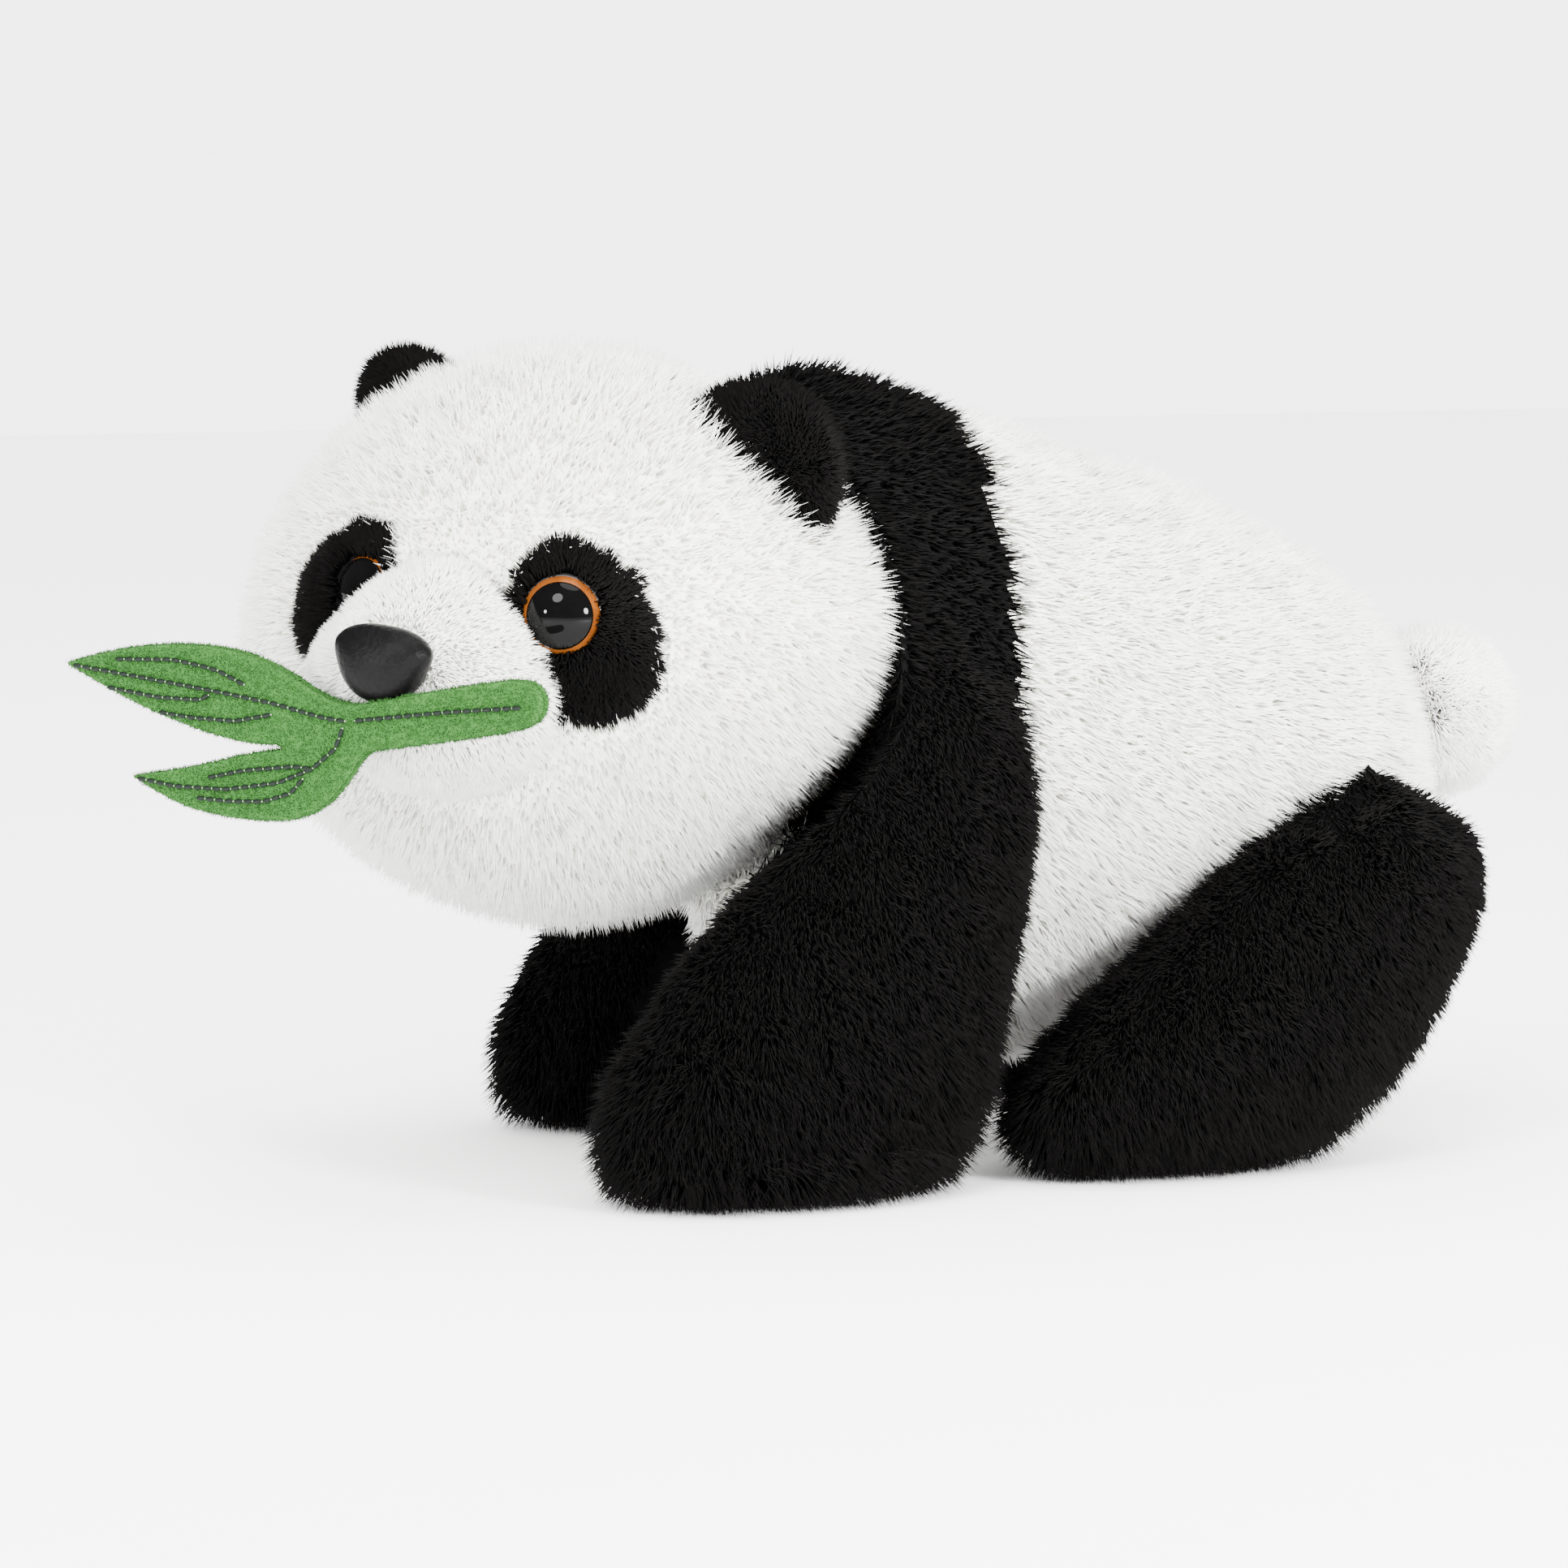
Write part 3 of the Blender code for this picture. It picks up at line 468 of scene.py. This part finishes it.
def patch_depth(point, side):
    """Below 1 inside an eye patch's outline, seen from in front of the eye."""
    seat, out = eye_seat(side)
    seat += TURN @ Vector(((PATCH_SIDE[side] - EYE_SIDES[side]) * side, 0, PATCH_RISE - EYE_RISES[side]))
    across, rise = TURN @ Vector((side, 0, 0)), TURN @ Vector((0, 0, 1))
    basis = Matrix((across, rise, out)).transposed()
    right, up, ahead = basis.inverted() @ (point - seat)
    right, up = right - PATCH_SHIFT[0], up - PATCH_SHIFT[1]
    long = (right * math.cos(PATCH_SLANT) + up * math.sin(PATCH_SLANT)) / PATCH_LONG[side]
    short = (up * math.cos(PATCH_SLANT) - right * math.sin(PATCH_SLANT)) / PATCH_SHORT[side]
    if ahead < PATCH_REACH:
        return NOT_IN_PATCH
    return math.hypot(long, short / (1 + PATCH_BROADENING * long))


def in_patch(point, side, limit=1.0):
    return patch_depth(point, side) < limit


def in_eye(point, side):
    seat, out = eye_seat(side)
    away = point - seat
    return (away - out * away.dot(out)).length < EYE_RADIUS * EYE_CLEARING


def in_muzzle(point, grow=1.0):
    local = in_head(point) - MUZZLE_CENTRE
    return Vector((local.x / MUZZLE_HALF.x, local.y / MUZZLE_HALF.y, local.z / MUZZLE_HALF.z)).length < grow


def face_comb(point):
    """The face's pile lies away from the nose and a little downwards."""
    away = (point - head_point(*NOSE_TIP)).normalized()
    return away * 0.55 + Vector((0, 0, -0.35))


def body_comb(point):
    return Vector((0, 0.75, -0.45))


def leg_comb(point):
    """A leg's pile hangs down, and less so at the paw."""
    return Vector((0, 0.1, -0.85 + 0.6 * (point.z < PAW_EDGE)))


def build_head():
    skin = soft_form("head_padding", head_shape, WHITE_CLOTH, fineness=6, smoothing=1)
    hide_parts("head_skin", "head_filling")
    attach(skin, "head")

    def open_fur(point):
        covered = any(in_patch(point, side, 0.96) for side in (1, -1))
        return not covered and not in_muzzle(point, 0.93)

    def length(point):
        near_muzzle = in_muzzle(point, 1.25)
        near_patch = any(in_patch(point, side, 1.22) for side in (1, -1))
        return NEAR_SEAM_PILE if near_muzzle or near_patch else HEAD_PILE
    grow_pile("head_pile", skin, WHITE_PILE, length, face_comb, "head", open_fur)

    def muzzle_shape(x, y, z):
        narrow = 1 - MUZZLE_NARROWING * max(z, 0)
        size = Vector((x * MUZZLE_HALF.x * narrow, y * MUZZLE_HALF.y, z * MUZZLE_HALF.z))
        return HEAD_CENTRE + TURN @ (MUZZLE_CENTRE + size)
    muzzle = soft_form("muzzle_padding", muzzle_shape, WHITE_CLOTH, smoothing=1)
    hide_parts("muzzle_skin", "muzzle_filling")
    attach(muzzle, "head")

    def clear_of_nose(point):
        local = in_head(point)
        nose = Vector((local.x / NOSE_HALF.x, (local.z - NOSE_TIP[2]) / NOSE_HALF.z))
        in_an_eye = any(in_eye(point, side) for side in (1, -1))
        return not (nose.length < 0.95 and local.y < -60) and local.y < MUZZLE_FRONT and not in_an_eye
    grow_pile("muzzle_pile", muzzle, WHITE_PILE, lambda point: MUZZLE_PILE, face_comb, "head", clear_of_nose,
              clump=5, stray=0.3, share=0.7)

    for side, word in LEFT_AND_RIGHT:
        patch = panel_over(f"eye_{word}_patch_panel", skin, lambda point: in_patch(point, side), BLACK_CLOTH)
        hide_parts(f"eye_patch_{word}")
        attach(patch, "head")
        grow_pile(f"eye_{word}_patch_pile", patch, BLACK_PILE, lambda point: PATCH_PILE,
                  lambda point: (point - eye_seat(side)[0]).normalized() * 0.7, "head",
                  lambda point: not in_eye(point, side), share=0.35, stray=0.3)
        build_eye(side, word)
    build_nose()


def build_eye(side, word):
    """A pupil and an amber ring in a black rim. Their clear coat stands for the dome."""
    seat, out = eye_seat(side)
    upright = out.to_track_quat("Z", "Y").to_matrix()

    def cap(name, radius, band, look):
        bm = bmesh.new()
        bmesh.ops.create_uvsphere(bm, u_segments=64, v_segments=48, radius=radius)
        for height, outward in zip(band, (-1, 1)):
            geometry = bm.verts[:] + bm.edges[:] + bm.faces[:]
            done = bmesh.ops.bisect_plane(bm, geom=geometry, plane_co=(0, 0, radius * height),
                                          plane_no=(0, 0, outward), clear_outer=True)
            rim = [part for part in done["geom_cut"] if isinstance(part, bmesh.types.BMEdge)]
            if rim:
                bmesh.ops.holes_fill(bm, edges=rim, sides=0)
        for vert in bm.verts:
            x, y, z = vert.co
            vert.co = place(seat - out * EYE_SUNK[side] + upright @ Vector((x, y, z * EYE_DOMING)))
        made = new_object(name, bm, look)
        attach(made, "head")
        return made

    rim = cap(f"eye_{word}_rim", EYE_RADIUS, RIM_BAND, PLASTIC)
    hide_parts(f"eye_{word}_backing")
    ring = cap(f"eye_{word}_ring", EYE_RADIUS * RING_SHARE, RING_BAND, AMBER)
    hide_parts(f"eye_{word}_iris", f"eye_{word}_dome")
    pupil = cap(f"eye_{word}_centre", EYE_RADIUS, PUPIL_BAND, PUPIL)
    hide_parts(f"eye_{word}_pupil")


def build_nose():
    """A rounded three-cornered nose, broad above and narrow below."""
    tip = head_point(*NOSE_TIP)

    def shape(x, y, z):
        narrow = 1 + NOSE_NARROWING * min(z, NOSE_NARROW_TOP)
        spread = max(abs(x) ** NOSE_ROUNDNESS + abs(z) ** NOSE_ROUNDNESS, 1e-3)
        fuller = 1 / spread ** (1 / NOSE_ROUNDNESS)
        fuller = min(fuller * math.hypot(x, z), NOSE_FULLEST)
        return tip + TURN @ Vector((x * NOSE_HALF.x * narrow * fuller, y * NOSE_HALF.y,
                                    z * NOSE_HALF.z * fuller))
    nose = soft_form("nose_moulding", shape, NOSE_PLASTIC, fineness=5, smoothing=2)
    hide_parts("nose")
    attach(nose, "head")


def build_ears():
    """Each ear is a flattened pad whose root reaches into the head."""
    for side, word in LEFT_AND_RIGHT:
        seat, tilt = EAR_ANGLES[side], EAR_TILTS[side]
        from_centre = TURN @ Vector((side * math.cos(seat), 0, math.sin(seat)))
        outward = TURN @ Vector((side * math.cos(tilt), 0, math.sin(tilt)))
        along = TURN @ Vector((side * math.sin(tilt), 0, -math.cos(tilt)))
        facing = outward.cross(along).normalized()
        root = HEAD_CENTRE + from_centre * EAR_ROOT + TURN @ Vector((0, EAR_BEHIND[side], 0))
        root += along * EAR_DROP[side]
        half = EAR_HALVES[side]

        def shape(x, y, z):
            rise = max(z * half.z, EAR_IN_HEAD)
            return root + along * x * half.x + facing * y * half.y + outward * rise
        ear = soft_form(f"ear_{word}_padding", shape, BLACK_CLOTH, smoothing=3)
        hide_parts(f"ear_{word}_front", f"ear_{word}_back")
        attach(ear, f"ear_{word}")
        grow_pile(f"ear_{word}_pile", ear, BLACK_PILE, lambda point: EAR_PILE,
                  lambda point: (point - root).normalized() * 0.6, f"ear_{word}", share=0.5)


# ---------------------------------------------------------------------- torso
def in_yoke_black(point):
    """The yoke is all of the shoulders but the white chest."""
    above_the_chest = point.z > CHEST_TOP or abs(point.x) > CHEST_HALF
    return point.y < YOKE_BACK and above_the_chest


def build_torso():
    skin = soft_form("torso_padding", torso_shape, WHITE_CLOTH, fineness=6, smoothing=14)
    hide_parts("back_panel", "belly_panel", "torso_filling")
    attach(skin, "torso")
    yoke = panel_over("yoke_panel", skin, in_yoke_black, BLACK_CLOTH)
    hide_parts("shoulder_yoke")
    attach(yoke, "torso")

    def on_back(point):
        return not in_yoke_black(point) and point.z > BELLY_SEAM

    def on_belly(point):
        return not in_yoke_black(point) and point.z <= BELLY_SEAM
    grow_pile("back_pile", skin, WHITE_PILE, lambda point: BACK_PILE, body_comb, "torso", on_back)
    grow_pile("belly_pile", skin, WHITE_PILE, lambda point: BELLY_PILE, body_comb, "torso", on_belly,
              share=0.7)
    grow_pile("yoke_pile", yoke, BLACK_PILE, lambda point: YOKE_PILE, body_comb, "torso", share=0.9)


def build_legs():
    for end, stations, far in (("front", FRONT_LEG, FAR_FRONT_BACK), ("hind", HIND_LEG, FAR_HIND_BACK)):
        for side, word in LEFT_AND_RIGHT:
            name = f"{end}_leg_{word}"
            stepped_back = far if side < 0 else 0
            leg = soft_form(f"{name}_padding", leg_shape(stations, side, stepped_back), BLACK_CLOTH,
                            smoothing=5)
            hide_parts(f"{name}_skin", f"{name}_filling", f"{name}_sole")
            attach(leg, name)

            def length(point):
                return LEG_PILE + PAW_EXTRA * float(np.clip((PAW_TOP - point.z) / PAW_FADE, 0, 1))
            grow_pile(f"{name}_pile", leg, BLACK_PILE, length, leg_comb, name,
                      lambda point: point.z > SOLE_EDGE and abs(point.x) > LEG_WALL + 1,
                      share=0.9 if side > 0 else 0.6)


def build_tail():
    tail = soft_form("tail_padding", ball_shape(TAIL_CENTRE, TAIL_HALF), WHITE_CLOTH, smoothing=1)
    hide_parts("tail_skin", "tail_filling")
    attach(tail, "tail")
    grow_pile("tail_pile", tail, WHITE_PILE, lambda point: TAIL_PILE,
              lambda point: Vector((0, 0.1, -0.25)), "tail", share=0.5)


# ---------------------------------------------------------------------- sprig
# Outline and stitch lines, across and up from the head's centre in millimetres
UPPER_LEAF_TOP = ((-9, -7), (-18, -3.2), (-28, -1), (-40, -1.6), (-53, -4.3), (-66, -9.3))
UPPER_LEAF_UNDER = ((-57, -12.2), (-48, -15), (-34, -17.6), (-24, -18.3), (-15, -17.2))
LOWER_LEAF_TOP = ((-15, -18), (-24, -20.2), (-35, -24.6), (-49, -28.6))
LOWER_LEAF_UNDER = ((-38, -32.4), (-27, -33.1), (-15, -32), (-8, -29.1), (-3, -23.5), (1, -16))
STEM = ((5, -14.8), (18.5, -11.1), (33.5, -6.7), (37.3, -4.2), (38, -0.8), (36.5, 2), (32.5, 3),
        (17.5, -1.4), (4, -5.8), (-3, -7.8))
TIPS = ((-66, -9.3), (-49, -28.6), (-15, -17.2), (-15, -18))
STEM_STITCHES = (((35.9, -1.8), (18, -5.6), (-2.6, -10.6)),)
UPPER_LEAF_STITCHES = (
    ((-65.7, -9.3), (-48.3, -9.3), (-31.4, -9.4), (-18.6, -9.7), (-7.9, -10.7), (-2.6, -10.6)),
    ((-56.3, -7), (-41.1, -4.8), (-31.8, -5.3), (-24, -7.6)),
    ((-57.6, -12.3), (-44.2, -12.5), (-35, -11.6), (-31.4, -9.4)),
    ((-45.7, -15.3), (-36.2, -15.2), (-26.4, -14.3), (-18.4, -11.7)))
LOWER_LEAF_STITCHES = (
    ((-49.2, -28.6), (-38.7, -28.8), (-27.4, -27.6), (-16.2, -24.5), (-9.1, -20.7), (-4.4, -16),
     (-3, -10.8)),
    ((-33.5, -26.7), (-24, -23.4), (-12.8, -20.8), (-9.1, -20.7)),
    ((-35.8, -30.4), (-26.3, -29.7), (-18.8, -28.5), (-13.1, -26), (-10.5, -22.3)))
FELT, FELT_GAP = 1.5, 0.35
SPRIG_AHEAD, FELT_DETAIL = 78, 0.5
CORNER_CUT = 0.25
STITCH_PITCH, STITCH_LENGTH, STITCH_WIDTH, STITCH_RAISED = 2.1, 1.9, 0.95, 0.45
SPECK_RADIUS, SPECK_DIP = 0.19, 0.1     # where the under thread shows between two stitches


def rounded(outline, keep=TIPS, rounds=2):
    """Cuts the corners of a closed outline, apart from those that keep names."""
    for _ in range(rounds):
        smoother = []
        for here, after in zip(outline, outline[1:] + outline[:1]):
            for corner, other in ((here, after), (after, here)):
                cut = tuple(a + (b - a) * CORNER_CUT for a, b in zip(corner, other))
                smoother.append(corner if corner in keep else cut)
        outline = [spot for spot, before in zip(smoother, smoother[-1:] + smoother[:-1]) if spot != before]
    return outline


def build_sprig():
    outline = rounded([*UPPER_LEAF_TOP, *UPPER_LEAF_UNDER, *LOWER_LEAF_TOP, *LOWER_LEAF_UNDER, *STEM])
    for layer, near in (("back", SPRIG_AHEAD), ("front", SPRIG_AHEAD + FELT_GAP + FELT)):
        bm = bmesh.new()
        ring = [bm.verts.new(head_point(side, near, rise)) for side, rise in outline]
        face = bm.faces.new(ring)
        drawn = bmesh.ops.extrude_face_region(bm, geom=[face])
        far = [part for part in drawn["geom"] if isinstance(part, bmesh.types.BMVert)]
        bmesh.ops.translate(bm, verts=far, vec=TURN @ Vector((0, -FELT, 0)))
        bmesh.ops.recalc_face_normals(bm, faces=bm.faces)
        bmesh.ops.triangulate(bm, faces=bm.faces[:], ngon_method="EAR_CLIP")
        bm.transform(Matrix.Scale(MM, 4) @ Matrix.Translation(-ORIGIN))
        felt = new_object(f"sprig_{layer}_felt", bm, GREEN_FELT, smooth=False)
        remesh = felt.modifiers.new("even", "REMESH")
        remesh.mode, remesh.voxel_size = "VOXEL", FELT_DETAIL * MM
        baked = bpy.data.meshes.new_from_object(felt.evaluated_get(bpy.context.evaluated_depsgraph_get()))
        felt.modifiers.clear()
        felt.data = baked
        baked.shade_smooth()
        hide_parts(f"bamboo_{layer}_felt")
        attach(felt, "head")
        grow_pile(f"sprig_{layer}_fuzz", felt, FELT_FUZZ, lambda point: FELT_PILE,
                  lambda point: (0, 0, 0), "head", width=FELT_TUFT_WIDTH, clump=2, stray=1.2, share=0.6)
    for part, lines in (("stem", STEM_STITCHES), ("upper_leaf", UPPER_LEAF_STITCHES),
                        ("lower_leaf", LOWER_LEAF_STITCHES)):
        build_stitches(part, lines)


def build_stitches(part, lines):
    """Short raised stitches of thread, end to end along each line."""
    ahead = SPRIG_AHEAD + 2 * FELT + FELT_GAP + STITCH_RAISED
    bm, specks = bmesh.new(), bmesh.new()
    for line in lines:
        points = np.array(line, float)
        gone = np.concatenate(([0], np.cumsum(np.linalg.norm(np.diff(points, axis=0), axis=1))))
        for start in np.arange(STITCH_PITCH, gone[-1] - STITCH_LENGTH, STITCH_PITCH):
            ends = [Vector([np.interp(at, gone, points[:, k]) for k in (0, 1)]) for at in
                    (start, start + STITCH_LENGTH)]
            run, middle = ends[1] - ends[0], (ends[0] + ends[1]) / 2
            slope = Matrix.Rotation(-math.atan2(run.y, run.x), 4, "Y")
            spot = Matrix.Translation(place(head_point(middle.x, ahead, middle.y))) @ TURN.to_4x4() @ slope
            size = Matrix.Diagonal((STITCH_LENGTH * MM / 2, STITCH_WIDTH * MM / 2, STITCH_WIDTH * MM / 2, 1))
            bmesh.ops.create_uvsphere(bm, u_segments=12, v_segments=8, radius=1, matrix=spot @ size)
            dip = Matrix.Translation(place(head_point(ends[1].x, ahead - SPECK_DIP, ends[1].y)))
            bmesh.ops.create_icosphere(specks, subdivisions=1, radius=SPECK_RADIUS * MM, matrix=dip)
    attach(new_object(f"sprig_{part}_under_thread", specks, UNDER_THREAD), "head")
    thread = new_object(f"sprig_{part}_thread", bm, THREAD)
    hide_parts(f"bamboo_{part}_stitching")
    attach(thread, "head")


# ---------------------------------------------------------------------- stage
# Lamps: name, azimuth, elevation, distance, size across, power
LAMPS = (("key", 45, 42, 1.4, 0.5, 22), ("right", 115, 14, 1.0, 0.22, 32), ("left", 24, 12, 1.0, 0.10, 8),
         ("top", 120, 80, 1.3, 0.9, 18))
ROOM_LIGHT, ROOM_IN_MIRROR = 4.8, 0.2
CAMERA_TARGET, CAMERA_AWAY, CAMERA_LENS = Vector((-0.0085, -0.0055, 0.076)), 1.1, 124.2
CAMERA_TURN, CAMERA_RISE = math.radians(69), math.radians(6.5)
FLOOR_HALF = 3


def direction(turn, rise):
    """Unit vector from the toy towards a place, given its turn and its rise."""
    return Vector((math.sin(turn) * math.cos(rise), -math.cos(turn) * math.cos(rise), math.sin(rise)))


def build_stage():
    back = direction(CAMERA_TURN, CAMERA_RISE)
    camera = bpy.data.objects.new("camera", bpy.data.cameras.new("camera"))
    camera.data.lens = CAMERA_LENS
    camera.location = CAMERA_TARGET + back * CAMERA_AWAY
    camera.rotation_euler = back.to_track_quat("Z", "Y").to_euler()
    bpy.context.collection.objects.link(camera)
    bpy.context.scene.camera = camera

    world = bpy.data.worlds.new("studio")
    world.use_nodes = True
    tree = world.node_tree
    room = tree.nodes["Background"]
    room.inputs["Color"].default_value = (1, 1, 1, 1)
    # Polished plastic mirrors a dark room, everything else is lit by a bright one.
    ray = tree.nodes.new("ShaderNodeLightPath")
    choice = tree.nodes.new("ShaderNodeMapRange")
    choice.inputs["To Min"].default_value = ROOM_LIGHT
    choice.inputs["To Max"].default_value = ROOM_IN_MIRROR
    link(tree, ray.outputs["Is Glossy Ray"], choice.inputs["Value"])
    link(tree, choice.outputs["Result"], room.inputs["Strength"])
    bpy.context.scene.world = world

    bm = bmesh.new()
    bmesh.ops.create_grid(bm, x_segments=1, y_segments=1, size=FLOOR_HALF)
    floor = new_object("floor", bm, plain_material("floor_paint", (0.95, 0.95, 0.95), 0.9), smooth=False)
    for name, turn, rise, away, size, power in LAMPS:
        towards = direction(math.radians(turn), math.radians(rise))
        lamp = bpy.data.objects.new(name, bpy.data.lights.new(name, "AREA"))
        lamp.data.shape, lamp.data.size, lamp.data.energy = "DISK", size, power
        lamp.location = CAMERA_TARGET + towards * away
        lamp.rotation_euler = towards.to_track_quat("Z", "Y").to_euler()
        bpy.context.collection.objects.link(lamp)


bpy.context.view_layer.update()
build_head()
build_ears()
build_torso()
build_legs()
build_tail()
build_sprig()
for node, look in (("eye_left_washer", PLASTIC), ("eye_right_washer", PLASTIC), ("nose_washer", PLASTIC),
                   ("pellet_pouch", POUCH)):
    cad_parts[node].data.materials.clear()
    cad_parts[node].data.materials.append(look)
build_stage()
bpy.context.view_layer.update()
